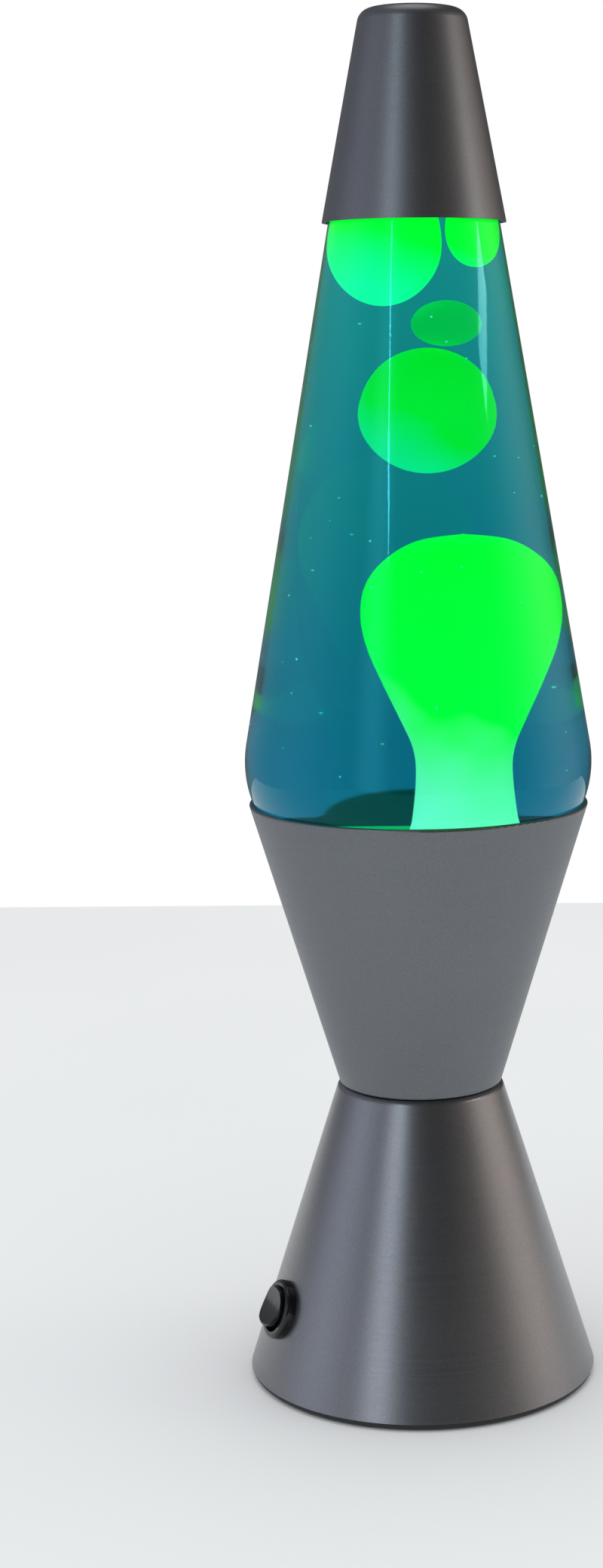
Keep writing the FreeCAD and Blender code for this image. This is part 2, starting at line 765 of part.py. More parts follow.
def bent_path(points):
    """Straight runs joined by tangent arcs, each as large as its two runs allow."""
    places = [vector(*point) for point in points]
    edges = []
    start = places[0]
    for before, corner, after in zip(places, places[1:], places[2:]):
        back, ahead = before - corner, after - corner
        run = min(back.Length, ahead.Length)
        turn = math.pi - back.getAngle(ahead)
        radius = 0.45 * run / math.tan(turn / 2)
        trim = 0.45 * run
        back.normalize()
        ahead.normalize()
        bisector = back + ahead
        bisector.normalize()
        middle = corner + bisector * (radius / math.cos(turn / 2) - radius)
        first, last = corner + back * trim, corner + ahead * trim
        edges.append(Part.LineSegment(start, first).toShape())
        edges.append(Part.Arc(first, middle, last).toShape())
        start = last
    edges.append(Part.LineSegment(start, places[-1]).toShape())
    return Part.Wire(edges)


def make_wire(label, points):
    """One insulated wire along its route, as a round tube."""
    path = bent_path(points)
    radius = number("wire_radius")
    start = path.Edges[0]
    heading = start.tangentAt(start.FirstParameter)
    section = Part.Wire([Part.makeCircle(radius, start.valueAt(start.FirstParameter), heading)])
    tube = path.makePipeShell([section], True, False)
    expected = math.pi * radius ** 2 * path.Length
    if abs(tube.Volume - expected) > 0.02 * expected:
        raise ValueError(f"{label}: volume {tube.Volume:.1f}, not {expected:.1f}")
    simple(label, tube)


def make_wiring():
    """Live to the switch, from the switch to the holder, and neutral straight to the holder."""
    def behind_switch(side, back):
        return tuple(SWITCH_PLACE.multVec(vector(0, side, -back)))

    block_front = BLOCK_Y - 4.6
    block_mid = BLOCK_Z + POLE_RISE
    make_wire("wire_live", [
        (BLOCK_POLES[0], block_front, block_mid), (-5.0, 10.0, block_mid + 1.5), (-10.0, 0.0, 9.0),
        behind_switch(-3.2, 27.0), behind_switch(-3.2, 19.3)])
    make_wire("wire_switched", [
        behind_switch(3.2, 19.3), behind_switch(3.2, 27.0), (-6.0, -6.0, 27.0), (-4.5, -1.0, 38.0),
        (-2.2, 0.0, 46.5), (-4.5, 0.0, 54.6)])
    make_wire("wire_neutral", [
        (BLOCK_POLES[1], block_front, block_mid), (6.0, 9.0, block_mid + 4.0), (5.0, 3.0, 22.0),
        (2.0, 0.5, 35.0), (2.0, 0.0, 45.0), (7.0, 0.0, 54.6)])


# --- reflector bulb ------------------------------------------------------------------------------

BULB_GLASS = 0.7
CAP_WALL = 0.5
CAP_RIDGE = 0.45
CAP_RIDGES = 5
CAP_LENGTH = 26.0
BULB_NECK = 6.35


def make_bulb():
    """A 39 mm reflector bulb with an E14 cap; every piece is turned about the lamp's axis."""
    tip, top = size("bulb_tip_height"), size("bulb_top_height")
    shell_radius = size("bulb_shell_radius")
    wide = size("bulb_radius")
    glass, wall, neck = BULB_GLASS, CAP_WALL, BULB_NECK
    turned("bulb_tip", [(0, tip), (2.4, tip), (3.2, tip + 0.8), (3.2, tip + 1.6), (0, tip + 1.6)])
    turned("bulb_insulator", [
        (0, tip + 1.6), (4.6, tip + 1.6), (shell_radius - 0.6, tip + 4.6), (0, tip + 4.6)])
    ridge, count = CAP_RIDGE, CAP_RIDGES
    points = []
    for i in range(count):
        height = tip + 5.0 + E14_PITCH * i
        points += [(shell_radius - ridge, height), (shell_radius, height + E14_PITCH / 2)]
    last = tip + 5.0 + E14_PITCH * count
    outer = [(shell_radius - ridge, tip + 4.6)] + points
    outer += [(shell_radius - ridge, last), (shell_radius + 0.4, tip + CAP_LENGTH)]
    turned("bulb_shell", outer + [
        (shell_radius + 0.4 - wall, tip + CAP_LENGTH), (shell_radius - ridge - wall, last),
        (shell_radius - ridge - wall, tip + 4.6)])
    outside = [
        (neck, tip + 24.5), (neck + 0.1, tip + 26.4), (9.4, tip + 30.5), (14.6, tip + 43.0),
        (wide - 0.6, tip + 52.0), (wide, tip + 56.0), (wide - 1.6, tip + 60.5), (13.0, tip + 64.0),
        (0, top)]
    inside = [(0, top - glass), (13.0 - 0.1, tip + 64.0 - glass), (wide - 1.6 - glass, tip + 60.2),
              (wide - glass, tip + 56.0), (wide - 0.6 - glass, tip + 52.2), (14.6 - glass, tip + 43.2),
              (9.4 - glass, tip + 30.9), (neck + 0.1 - glass, tip + 26.5),
              (neck - glass, tip + 24.5)]
    envelope = turned("bulb_envelope", outside + inside)
    rounded(envelope, [(wide, tip + 56.0)], 3.0)
    rounded(envelope, [(13.0, tip + 64.0)], 8.0)
    stem = joined([
        cylinder(4.6, 2.0, 0, 0, number("bulb_tip_height") + 24.4),
        cylinder(2.2, 12.0, 0, 0, number("bulb_tip_height") + 26.0),
        Part.makeSphere(2.8, vector(0, 0, number("bulb_tip_height") + 38.0)),
    ])
    simple("bulb_stem", stem)
    leads = []
    lead_base, lead_top = number("bulb_tip_height") + 40.9, number("bulb_tip_height") + 50.0
    for side in (-1, 1):
        leads.append(Part.makeCylinder(
            0.35, lead_top - lead_base + 0.8, vector(side * 1.2, 0, lead_base),
            vector(side * 0.55, 0, 1)))
    reach = 1.2 + 0.55 * (lead_top - lead_base) * 0.93
    coil = Part.makeCylinder(0.55, 2 * reach, vector(-reach, 0, lead_top - 0.4), vector(1, 0, 0))
    simple("bulb_filament", joined(leads + [coil]))


# --- bottle, fill and closure --------------------------------------------------------------------

FOOT_ROUND = 6.0
PUNT_RISE = 4.0
PUNT_RADIUS = 22.0
FOOT_RING_RADIUS = 30.0
FLOOR_GLASS = 2.5
FINISH_HEIGHT = 5.5
NECK_END = 7.0


def bottle_outline(inset, low, high):
    """The bottle's outer points from its foot up to its neck, moved inward by a wall's thickness."""
    foot, belly = size("bottle_foot_radius"), size("bottle_belly_radius")
    shoulder, neck = size("shoulder_radius"), size("neck_radius")
    return [
        (foot - inset, low),
        (belly - inset * 1.02, size("bottle_belly_height")),
        (shoulder - inset * 1.02, size("shoulder_height") - inset * 0.3),
        (neck - inset, size("neck_start_height") - inset * 0.3),
        (neck - inset, high),
    ]


def make_bottle():
    """The glass: a cone standing in the cup, a rounded belly, a shoulder, a neck and a crown finish."""
    wall = size("glass_wall")
    low, top = size("bottle_foot_height"), size("bottle_top_height")
    inner_low = low + PUNT_RISE + FLOOR_GLASS
    finish = size("finish_radius")
    outside = bottle_outline(0.0, low, top - NECK_END)
    inside = bottle_outline(wall, inner_low, top)
    punt = [(0, low + PUNT_RISE), (PUNT_RADIUS, low + PUNT_RISE), (FOOT_RING_RADIUS, low)]
    points = punt + outside + [(finish, top - FINISH_HEIGHT), (finish, top)]
    points += list(reversed(inside)) + [(0, inner_low)]
    bottle = turned("glass_bottle", points)
    belly = [(size("bottle_belly_radius"), size("bottle_belly_height"))]
    rounded(bottle, belly, size("belly_round"))
    rounded(bottle, [(size("bottle_foot_radius"), low)], FOOT_ROUND)
    rounded(bottle, [(size("shoulder_radius"), size("shoulder_height"))], 4.0)
    rounded(bottle, [(size("neck_radius"), size("neck_start_height"))], 3.0)
    rounded(bottle, [(finish, top)], 0.8)
    rounded(bottle, [(finish, top - FINISH_HEIGHT)], 0.8)
    return bottle


LIQUID_TOP = 326.0
FILL_GAP = 0.05
POOL_TOP = 160.0
COLUMN_LOW = 150.0
COLUMN_TOP = 229.5
COLUMN_PROFILE = [
    (13.5, COLUMN_LOW), (10.2, 160), (9.4, 168), (10.4, 175), (13.2, 183), (16.6, 192), (19.4, 201),
    (20.1, 208), (18.6, 216), (14.6, 223), (8.2, 228), (0, COLUMN_TOP)]


def make_fill():
    """The wax masses and the liquid round them, which together fill the bottle to its shoulder."""
    wall = number("glass_wall") + FILL_GAP
    low = number("bottle_foot_height") + PUNT_RISE + FLOOR_GLASS + FILL_GAP
    points = [(radius.value, height.value if isinstance(height, Size) else height)
              for radius, height in bottle_outline(Size(wall), low, LIQUID_TOP)]
    shoulder_radius, shoulder_height = points[2]
    neck_radius, neck_height = points[3]
    along = (LIQUID_TOP - shoulder_height) / (neck_height - shoulder_height)
    top_radius = shoulder_radius + along * (neck_radius - shoulder_radius)
    corners = [(0, low), points[0], points[1], points[2], (top_radius, LIQUID_TOP), (0, LIQUID_TOP)]
    face = Part.Face(Part.makePolygon([vector(x, 0, z) for x, z in corners + corners[:1]]))
    room = face.revolve(vector(0, 0, 0), vector(0, 0, 1), 360)
    belly = [e for e in room.Edges if isinstance(e.Curve, Part.Circle)
             and abs(e.Curve.Radius - points[1][0]) < 0.02]
    room = room.makeFillet(number("belly_round") - wall, belly)

    offset = number("column_offset")
    pool = room.common(Part.makeCylinder(60.0, POOL_TOP - low, vector(0, 0, low)))
    section = Part.BSplineCurve()
    section.interpolate([vector(x, 0, z) for x, z in COLUMN_PROFILE])
    foot, start = vector(0, 0, COLUMN_LOW), vector(COLUMN_PROFILE[0][0], 0, COLUMN_LOW)
    edges = [section.toShape(), Part.makeLine(vector(0, 0, COLUMN_TOP), foot), Part.makeLine(foot, start)]
    lobe = Part.Face(Part.Wire(edges)).revolve(vector(0, 0, 0), vector(0, 0, 1), 360)
    lobe.translate(vector(offset, 0, 0))
    coil = make_coil(low)
    wax_column = joined([pool, lobe])
    wax = {
        "wax_column": wax_column.cut(coil_room(low)),
        "wax_ball": blob(2.3, 261.6, 13.2, 16.2),
        "wax_bead": blob(6.0, 284.1, 6.8, 5.9),
        "wax_upper_left": blob(-6.0, 306.0, 11.2, 17.4),
        "wax_upper_right": blob(11.7, 308.5, 5.9, 10.0),
    }
    liquid = room
    for label, shape in wax.items():
        simple(label, shape)
        liquid = liquid.cut(wax_column if label == "wax_column" else shape)
    simple("liquid", liquid)
    simple("heating_coil", coil)


def blob(x, z, radius, half_height):
    """A rounded wax mass: a tall one is turned from half an ellipse, a flat one is a pressed ball."""
    if half_height > radius:
        centre, bottom, top = vector(0, 0, 0), vector(0, 0, -half_height), vector(0, 0, half_height)
        arc = Part.ArcOfEllipse(Part.Ellipse(top, vector(radius, 0, 0), centre), 0.0, math.pi)
        profile = Part.Wire([arc.toShape(), Part.makeLine(bottom, top)])
        shape = Part.Face(profile).revolve(centre, vector(0, 0, 1), 360)
    else:
        pressed = FreeCAD.Matrix()
        pressed.scale(radius, radius, half_height)
        shape = Part.makeSphere(1.0).transformGeometry(pressed)
    shape.translate(vector(x, 0, z))
    return shape


COIL_RADIUS = 24.0
COIL_WIRE = 0.7
COIL_TURNS = 3
COIL_RISE = 2.2


def coil_room(low):
    """The ring of wax that the coil stands in is left out, so that the coil overlaps nothing."""
    tall = COIL_TURNS * COIL_RISE + 2 * COIL_WIRE + 0.6
    outer = Part.makeCylinder(COIL_RADIUS + 1.2, tall, vector(0, 0, low - 0.01))
    inner = Part.makeCylinder(COIL_RADIUS - 1.2, tall + 2, vector(0, 0, low - 1))
    return outer.cut(inner)


def make_coil(low):
    """Steel wire rings on the bottle's floor, tied by a bar, which pass heat into the wax."""
    first = low + COIL_WIRE + 0.2
    rings = [Part.makeTorus(COIL_RADIUS, COIL_WIRE, vector(0, 0, first + COIL_RISE * i))
             for i in range(COIL_TURNS)]
    tie = cylinder(COIL_WIRE * 0.7, COIL_RISE * (COIL_TURNS - 1), COIL_RADIUS, 0, first)
    return joined(rings + [tie])


LINER_HEIGHT = 0.6
CROWN_METAL = 0.4
FLUTES = 21


def make_closure():
    """A crown cap with a fluted skirt, and the liner that seals it on the bottle's finish."""
    top = size("bottle_top_height")
    finish = size("finish_radius")
    liner_top = top + LINER_HEIGHT
    turned("crown_liner", [(0, top), (finish - 0.6, top), (finish - 0.6, liner_top), (0, liner_top)])
    roof = liner_top + 0.05
    skirt = finish + 0.15
    crown = turned("crown_cap", [
        (0, roof), (skirt - 0.8, roof), (skirt, roof - 1.2), (skirt + 1.5, top - 4.8),
        (skirt + 2.0, top - 4.7), (skirt + 0.5, roof - 0.6), (skirt - 0.8, roof + CROWN_METAL),
        (0, roof + CROWN_METAL)])
    sketch = new_sketch(crown, "XY_Plane", "flute_plan")
    sketch.AttachmentOffset = FreeCAD.Placement(vector(0, 0, top.value - 6.0), FreeCAD.Rotation())
    circle(sketch, skirt + 2.45, 0, 0.8)
    before = crown.Shape.Volume
    flute = crown.newObject("PartDesign::Pocket", "flute")
    flute.Profile = sketch
    flute.Reversed = True
    flute.Length = 3.6
    crown.Tip = flute
    doc.recompute()
    pattern = crown.newObject("PartDesign::PolarPattern", "flutes")
    pattern.Originals = [flute]
    pattern.Axis = (origin_plane(crown, "Z_Axis"), [""])
    pattern.Angle = 360.0
    pattern.Occurrences = FLUTES
    crown.Tip = pattern
    doc.recompute()
    if crown.Shape.Volume >= before:
        raise ValueError("the crown cap's flutes cut nothing")


# --- the whole lamp ------------------------------------------------------------------------------

def main():
    shell = make_base_cone()
    shell.Label = "base_cone_blank"
    with_switch = cut_wall(shell, "base_with_switch_hole", SWITCH_PLACE,
                           size("switch_barrel_radius") + 0.1)
    base = cut_wall(with_switch, "base_cone_finished", CORD_PLACE, size("cord_bore_radius") + 1.7)
    base.Label = "base_cone"
    make_bottom_cover()
    make_foot_pads()
    make_screw_ring()
    make_cover_screws()
    make_switch()
    make_cord_grommet()
    make_cup()
    make_lampholder()
    make_clamp_ring("clamp_ring_lower", WAIST - SHEET - CLAMP_HEIGHT, WAIST - SHEET)
    make_clamp_ring("clamp_ring_upper", WAIST + SHEET, WAIST + SHEET + CLAMP_HEIGHT)
    make_terminal_block()
    make_wiring()
    make_bulb()
    make_bottle()
    make_fill()
    make_closure()
    make_cap()
    make_cap_ring()
    doc.recompute()
    write_parts()


SUB_PARTS = """
base_cone bottom_cover foot_pads screw_ring cover_screws cord_grommet switch_housing switch_rocker
switch_terminals terminal_block terminal_inserts wire_live wire_switched wire_neutral
lampholder_body lampholder_dome lampholder_shell lampholder_contact lampholder_terminals
clamp_ring_lower clamp_ring_upper cup bulb_envelope bulb_shell bulb_insulator bulb_tip bulb_stem
bulb_filament glass_bottle liquid wax_column wax_ball wax_bead wax_upper_left wax_upper_right
heating_coil crown_cap crown_liner cap cap_ring
""".split()


def write_parts():
    """Check every object and sub-part, then write one STEP file for each sub-part."""
    for item in doc.Objects:
        if "Invalid" in item.State or "Error" in item.State:
            raise ValueError(f"{item.Name} ({item.Label}): {item.State}")
    os.makedirs("parts", exist_ok=True)
    for label in SUB_PARTS:
        found = doc.getObjectsByLabel(label)
        if len(found) != 1:
            raise ValueError(f"{label}: {len(found)} objects")
        shape = found[0].Shape
        if shape.isNull() or not shape.isValid():
            raise ValueError(f"{label}: bad shape")
        shape.exportStep(os.path.join("parts", f"{label}.step"))
        print(f"{label:22s} {len(shape.Solids):2d} solids {shape.Volume / 1000:8.2f} cm3")


main()
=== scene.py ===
"""Looks for the lava lamp: satin spun metal, a bottle of lit teal liquid and glowing green wax."""

import math
import random

import bmesh
import bpy
from mathutils import Matrix, Vector


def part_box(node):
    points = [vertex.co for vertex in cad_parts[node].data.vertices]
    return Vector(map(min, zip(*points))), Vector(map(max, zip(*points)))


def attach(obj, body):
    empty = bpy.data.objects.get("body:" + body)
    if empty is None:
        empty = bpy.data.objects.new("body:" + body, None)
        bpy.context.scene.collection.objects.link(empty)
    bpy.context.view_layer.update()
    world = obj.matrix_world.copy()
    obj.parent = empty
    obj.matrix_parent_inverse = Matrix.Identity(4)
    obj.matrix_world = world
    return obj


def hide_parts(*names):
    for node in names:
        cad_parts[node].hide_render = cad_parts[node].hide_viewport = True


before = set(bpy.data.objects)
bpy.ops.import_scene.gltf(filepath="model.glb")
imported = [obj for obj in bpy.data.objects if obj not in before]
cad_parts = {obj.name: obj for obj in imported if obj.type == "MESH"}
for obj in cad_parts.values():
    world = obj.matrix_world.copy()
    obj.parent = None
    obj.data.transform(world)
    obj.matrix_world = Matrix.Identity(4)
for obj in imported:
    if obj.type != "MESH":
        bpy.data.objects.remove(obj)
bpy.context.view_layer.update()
MM = 0.001
PAINTED_LIGHT_LEAN = 0.45  # metres of height that a metre to the right counts for in the wax's painted lamp light


# --- helpers: nodes and materials ----------------------------------------------------------------

def new_material(name):
    """An empty material with its Principled shader and a place to add nodes."""
    material = bpy.data.materials.new(name)
    material.use_nodes = True
    return material, material.node_tree, material.node_tree.nodes["Principled BSDF"]


def add(tree, kind, **settings):
    """One node; settings name its attributes, or its inputs with spaces written as underscores."""
    node = tree.nodes.new(kind)
    for key, value in settings.items():
        if hasattr(node, key):
            setattr(node, key, value)
        else:
            node.inputs[key.replace("_", " ")].default_value = value
    return node


def link(tree, source, output, target, socket):
    tree.links.new(source.outputs[output], target.inputs[socket])


def place_coordinates(tree, scale):
    """Object coordinates, stretched by scale."""
    where = add(tree, "ShaderNodeTexCoord")
    mapping = add(tree, "ShaderNodeMapping")
    mapping.inputs["Scale"].default_value = scale
    link(tree, where, "Object", mapping, "Vector")
    return mapping


def noise(tree, scale, detail=3.0, stretch=(1.0, 1.0, 1.0)):
    mapping = place_coordinates(tree, stretch)
    texture = add(tree, "ShaderNodeTexNoise", Scale=scale, Detail=detail)
    link(tree, mapping, "Vector", texture, "Vector")
    return texture


def ramp(tree, source, output, stops):
    """A colour ramp over a factor; stops are (position, colour)."""
    node = tree.nodes.new("ShaderNodeValToRGB")
    elements = node.color_ramp.elements
    while len(elements) < len(stops):
        elements.new(0.5)
    for element, (position, colour) in zip(elements, stops):
        element.position = position
        element.color = (*colour, 1.0)
    link(tree, source, output, node, "Fac")
    return node


def spread(tree, source, output, low, high, start=0.0, end=1.0):
    """A number remapped to low..high."""
    node = add(tree, "ShaderNodeMapRange", From_Min=start, From_Max=end, To_Min=low, To_Max=high)
    link(tree, source, output, node, "Value")
    return node


def object_axes(tree):
    """Object coordinates as separate X, Y and Z."""
    where = add(tree, "ShaderNodeTexCoord")
    split = add(tree, "ShaderNodeSeparateXYZ")
    link(tree, where, "Object", split, "Vector")
    return split


def height_factor(tree, low, high):
    """0 at the height low, 1 at the height high, in the object's own frame."""
    split = object_axes(tree)
    return spread(tree, split, "Z", 0.0, 1.0, low, high)


def leaning_factor(tree, low, high):
    """Like height_factor, but it also grows from left to right, so that the painted lamp light on the
    wax leans.
    """
    split = object_axes(tree)
    lean = add(tree, "ShaderNodeMath", operation="MULTIPLY_ADD")
    link(tree, split, "X", lean, 0)
    lean.inputs[1].default_value = PAINTED_LIGHT_LEAN
    link(tree, split, "Z", lean, 2)
    return spread(tree, lean, "Value", 0.0, 1.0, low, high)


def bump(tree, shader, texture, output, strength, distance):
    node = add(tree, "ShaderNodeBump", Strength=strength, Distance=distance)
    link(tree, texture, output, node, "Height")
    link(tree, node, "Normal", shader, "Normal")


# --- materials -----------------------------------------------------------------------------------

def satin_metal(name, colour, roughness):
    """Spun metal with a satin lacquer: turned lines round the axis, fine sparkle, slight clouding."""
    material, tree, shader = new_material(name)
    shader.inputs["Metallic"].default_value = 1.0
    lines = noise(tree, 14.0, 3.0, (1.0, 1.0, 160.0))
    sparkle = noise(tree, 2600.0, 2.0)
    cloud = noise(tree, 28.0, 4.0)
    tone = ramp(tree, sparkle, "Fac", [
        (0.25, [c * 0.88 for c in colour]), (0.75, [c * 1.12 for c in colour])])
    cloudy = ramp(tree, cloud, "Fac", [(0.3, (0.93, 0.94, 0.95)), (0.7, (1.0, 1.0, 0.99))])
    mix = add(tree, "ShaderNodeMix", data_type="RGBA", blend_type="MULTIPLY")
    mix.inputs[0].default_value = 1.0
    tree.links.new(tone.outputs["Color"], mix.inputs[6])
    tree.links.new(cloudy.outputs["Color"], mix.inputs[7])
    tree.links.new(mix.outputs[2], shader.inputs["Base Color"])
    rough = spread(tree, lines, "Fac", roughness - 0.015, roughness + 0.02, 0.3, 0.7)
    link(tree, rough, "Result", shader, "Roughness")
    total = add(tree, "ShaderNodeMath", operation="ADD")
    link(tree, lines, "Fac", total, 0)
    link(tree, sparkle, "Fac", total, 1)
    bump(tree, shader, total, "Value", 0.06, 0.00004)
    return material


def moulded(name, colour, roughness, grain=1800.0, depth=0.12, metallic=0.0):
    """Moulded plastic, rubber or plain metal: fine surface grain and small changes of tone."""
    material, tree, shader = new_material(name)
    shader.inputs["Metallic"].default_value = metallic
    texture = noise(tree, grain, 3.0)
    cloud = noise(tree, 60.0, 3.0)
    tone = ramp(tree, cloud, "Fac", [
        (0.3, [c * 0.82 for c in colour]), (0.7, [min(1.0, c * 1.15) for c in colour])])
    link(tree, tone, "Color", shader, "Base Color")
    rough = spread(tree, texture, "Fac", max(0.02, roughness - 0.07), roughness + 0.08, 0.3, 0.7)
    link(tree, rough, "Result", shader, "Roughness")
    bump(tree, shader, texture, "Fac", depth, 0.0001)
    return material


def tinted_bottle(name, low, high):
    """Clear glass full of teal liquid: bluer low down, greener near the top, with a faint painted lamp
    light in the liquid.
    """
    material, tree, shader = new_material(name)
    shader.inputs["Transmission Weight"].default_value = 1.0
    shader.inputs["Roughness"].default_value = 0.05
    shader.inputs["IOR"].default_value = 1.38
    shader.inputs["Specular IOR Level"].default_value = 0.1
    shader.inputs["Specular Tint"].default_value = (0.12, 0.85, 1.0, 1.0)
    rise = height_factor(tree, low, high)
    tint = ramp(tree, rise, "Result", [
        (0.05, (0.02, 0.32, 0.57)), (0.35, (0.02, 0.35, 0.48)), (0.85, (0.02, 0.44, 0.43))])
    link(tree, tint, "Color", shader, "Base Color")
    # Painted lamp light: a faint emission, bluer low down and greener higher up, stands in for the
    # bulb's light lighting up the liquid.
    painted_lamp_light_in_liquid = ramp(tree, rise, "Result", [
        (0.05, (0.0, 0.016, 0.022)), (0.35, (0.0, 0.020, 0.014)), (0.85, (0.0, 0.026, 0.010))])
    link(tree, painted_lamp_light_in_liquid, "Color", shader, "Emission Color")
    shader.inputs["Emission Strength"].default_value = 1.0
    ripple = noise(tree, 30.0, 1.0)
    bump(tree, shader, ripple, "Fac", 0.05, 0.0004)
    depth = add(tree, "ShaderNodeVolumeAbsorption", Density=20.0)
    depth.inputs["Color"].default_value = (0.0, 0.53, 0.55, 1.0)
    output = tree.nodes["Material Output"]
    link(tree, depth, "Volume", output, "Volume")
    return material


def wax_with_painted_lamp_light(name, low, high, foot, middle, crown, strength):
    """Wax with painted lamp light: an emission colour stands in for the light, brightest low down,
    where the lamp shines into it.
    """
    material, tree, shader = new_material(name)
    rise = leaning_factor(tree, low, high)
    cloud = noise(tree, 34.0, 2.0)
    lift = spread(tree, cloud, "Fac", -0.10, 0.10, 0.3, 0.7)
    total = add(tree, "ShaderNodeMath", operation="ADD")
    link(tree, rise, "Result", total, 0)
    link(tree, lift, "Result", total, 1)
    # Painted lamp light: the emission runs from the foot colour low down to the crown colour at the
    # top, and the left side takes more of the foot colour.
    lamp_glow_and_painted_light = ramp(tree, total, "Value", [(0.0, foot), (0.46, middle), (1.0, crown)])
    link(tree, lamp_glow_and_painted_light, "Color", shader, "Emission Color")
    shader.inputs["Emission Strength"].default_value = strength
    # The base colour also darkens a little towards the top along the same factor: slight painted shade.
    body = ramp(tree, total, "Value", [(0.0, (0.01, 0.36, 0.03)), (1.0, (0.01, 0.33, 0.01))])
    link(tree, body, "Color", shader, "Base Color")
    rough = spread(tree, cloud, "Fac", 0.35, 0.5, 0.3, 0.7)
    link(tree, rough, "Result", shader, "Roughness")
    shader.inputs["Specular IOR Level"].default_value = 0.2
    return material


# --- helpers: meshes -----------------------------------------------------------------------------

def finish_mesh(name, mesh_data, material, body, replaced=()):
    """Turn a bmesh into a piece that rides on a body and hides the CAD parts it replaces."""
    bmesh.ops.recalc_face_normals(mesh_data, faces=mesh_data.faces)
    mesh = bpy.data.meshes.new(name)
    mesh_data.to_mesh(mesh)
    mesh_data.free()
    mesh.materials.append(material)
    for polygon in mesh.polygons:
        polygon.use_smooth = True
    piece = bpy.data.objects.new(name, mesh)
    bpy.context.scene.collection.objects.link(piece)
    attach(piece, body)
    if replaced:
        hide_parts(*replaced)
    return piece


def rounded_corners(corners, steps=14):
    """Points along an outline of (radius, height, rounding) corners, with arcs at the rounded ones."""
    points = []
    for i, (x, z, rounding) in enumerate(corners):
        corner = Vector((x, z))
        if rounding == 0:
            points.append(corner)
            continue
        back = (Vector(corners[i - 1][:2]) - corner).normalized()
        ahead = (Vector(corners[i + 1][:2]) - corner).normalized()
        half = back.angle(ahead) / 2
        centre = corner + (back + ahead).normalized() * (rounding / math.sin(half))
        first = corner + back * (rounding / math.tan(half)) - centre
        last = corner + ahead * (rounding / math.tan(half)) - centre
        turn = math.atan2(first.x * last.y - first.y * last.x, first.dot(last))
        for step in range(steps + 1):
            angle = turn * step / steps
            points.append(centre + Vector((
                first.x * math.cos(angle) - first.y * math.sin(angle),
                first.x * math.sin(angle) + first.y * math.cos(angle))))
    return points


def turned(points, sides=160, centre=lambda height: (0.0, 0.0), wobble=lambda angle, height: 1.0):
    """A surface turned about Z through (radius, height) points; the ends on the axis are closed."""
    data = bmesh.new()
    rings = []
    for radius, height in points:
        x0, y0 = centre(height)
        if radius < 1e-7:
            rings.append([data.verts.new((x0, y0, height))])
            continue
        ring = []
        for side in range(sides):
            angle = 2 * math.pi * side / sides
            reach = radius * wobble(angle, height)
            ring.append(data.verts.new(
                (x0 + reach * math.cos(angle), y0 + reach * math.sin(angle), height)))
        rings.append(ring)
    for low, high in zip(rings, rings[1:]):
        for side in range(sides):
            following = (side + 1) % sides
            if len(low) == 1:
                data.faces.new((low[0], high[side], high[following]))
            elif len(high) == 1:
                data.faces.new((low[side], high[0], low[following]))
            else:
                data.faces.new((low[side], high[side], high[following], low[following]))
    return data


def smooth_line(knots, steps=10):
    """A smooth line through (radius, height) knots, by Catmull-Rom between them."""
    line = []
    for i in range(len(knots) - 1):
        p0 = Vector(knots[max(i - 1, 0)])
        p1, p2 = Vector(knots[i]), Vector(knots[i + 1])
        p3 = Vector(knots[min(i + 2, len(knots) - 1)])
        for step in range(steps):
            t = step / steps
            line.append(0.5 * (2 * p1 + (p2 - p0) * t + (2 * p0 - 5 * p1 + 4 * p2 - p3) * t * t
                               + (3 * p1 - p0 - 3 * p2 + p3) * t ** 3))
    line.append(Vector(knots[-1]))
    return [(max(point.x, 0.0), point.y) for point in line]


# --- the bottle ----------------------------------------------------------------------------------

BOTTLE_LOW, BOTTLE_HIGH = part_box("glass_bottle")
FOOT_Z, TOP_Z = BOTTLE_LOW[2], BOTTLE_HIGH[2]
LEVEL_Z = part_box("liquid")[1][2]


PUNT_RISE = 4.0 * MM
PUNT_RADIUS = 22.0 * MM
FOOT_RING_RADIUS = 30.0 * MM
FOOT_RADIUS = 38.1 * MM
BELLY_RADIUS, BELLY_Z = 47.2 * MM, 168.1 * MM
SHOULDER_RADIUS, SHOULDER_Z = 21.2 * MM, 317.8 * MM
NECK_RADIUS, NECK_Z = 10.6 * MM, 328.0 * MM
FINISH_RADIUS = 13.2 * MM
NECK_END = 7.0 * MM
FINISH_HEIGHT = 5.5 * MM
BORE_RADIUS = 8.1 * MM
MENISCUS_RADIUS, MENISCUS_RISE = 9.6 * MM, 1.2 * MM


def make_bottle():
    """One clear body of glass and liquid, open above the liquid's level in the neck."""
    corners = [
        (0.0, FOOT_Z + PUNT_RISE, 0),
        (PUNT_RADIUS, FOOT_Z + PUNT_RISE, 4.0 * MM),
        (FOOT_RING_RADIUS, FOOT_Z, 4.0 * MM),
        (FOOT_RADIUS, FOOT_Z, 5.0 * MM),
        (BELLY_RADIUS, BELLY_Z, 30.0 * MM),
        (SHOULDER_RADIUS, SHOULDER_Z, 4.0 * MM),
        (NECK_RADIUS, NECK_Z, 3.0 * MM),
        (NECK_RADIUS, TOP_Z - NECK_END, 0.5 * MM),
        (FINISH_RADIUS, TOP_Z - FINISH_HEIGHT, 0.8 * MM),
        (FINISH_RADIUS, TOP_Z, 0.8 * MM),
        (BORE_RADIUS, TOP_Z, 0.8 * MM),
        (BORE_RADIUS, LEVEL_Z + MENISCUS_RISE, 0.6 * MM),
        (MENISCUS_RADIUS, LEVEL_Z, 0),
        (0.0, LEVEL_Z, 0),
    ]
    points = [tuple(point) for point in rounded_corners(corners)]
    material = tinted_bottle("tinted_bottle", FOOT_Z, TOP_Z)
    return finish_mesh("bottle_of_liquid", turned(points, 192), material, "bottle",
                       ("glass_bottle", "liquid"))
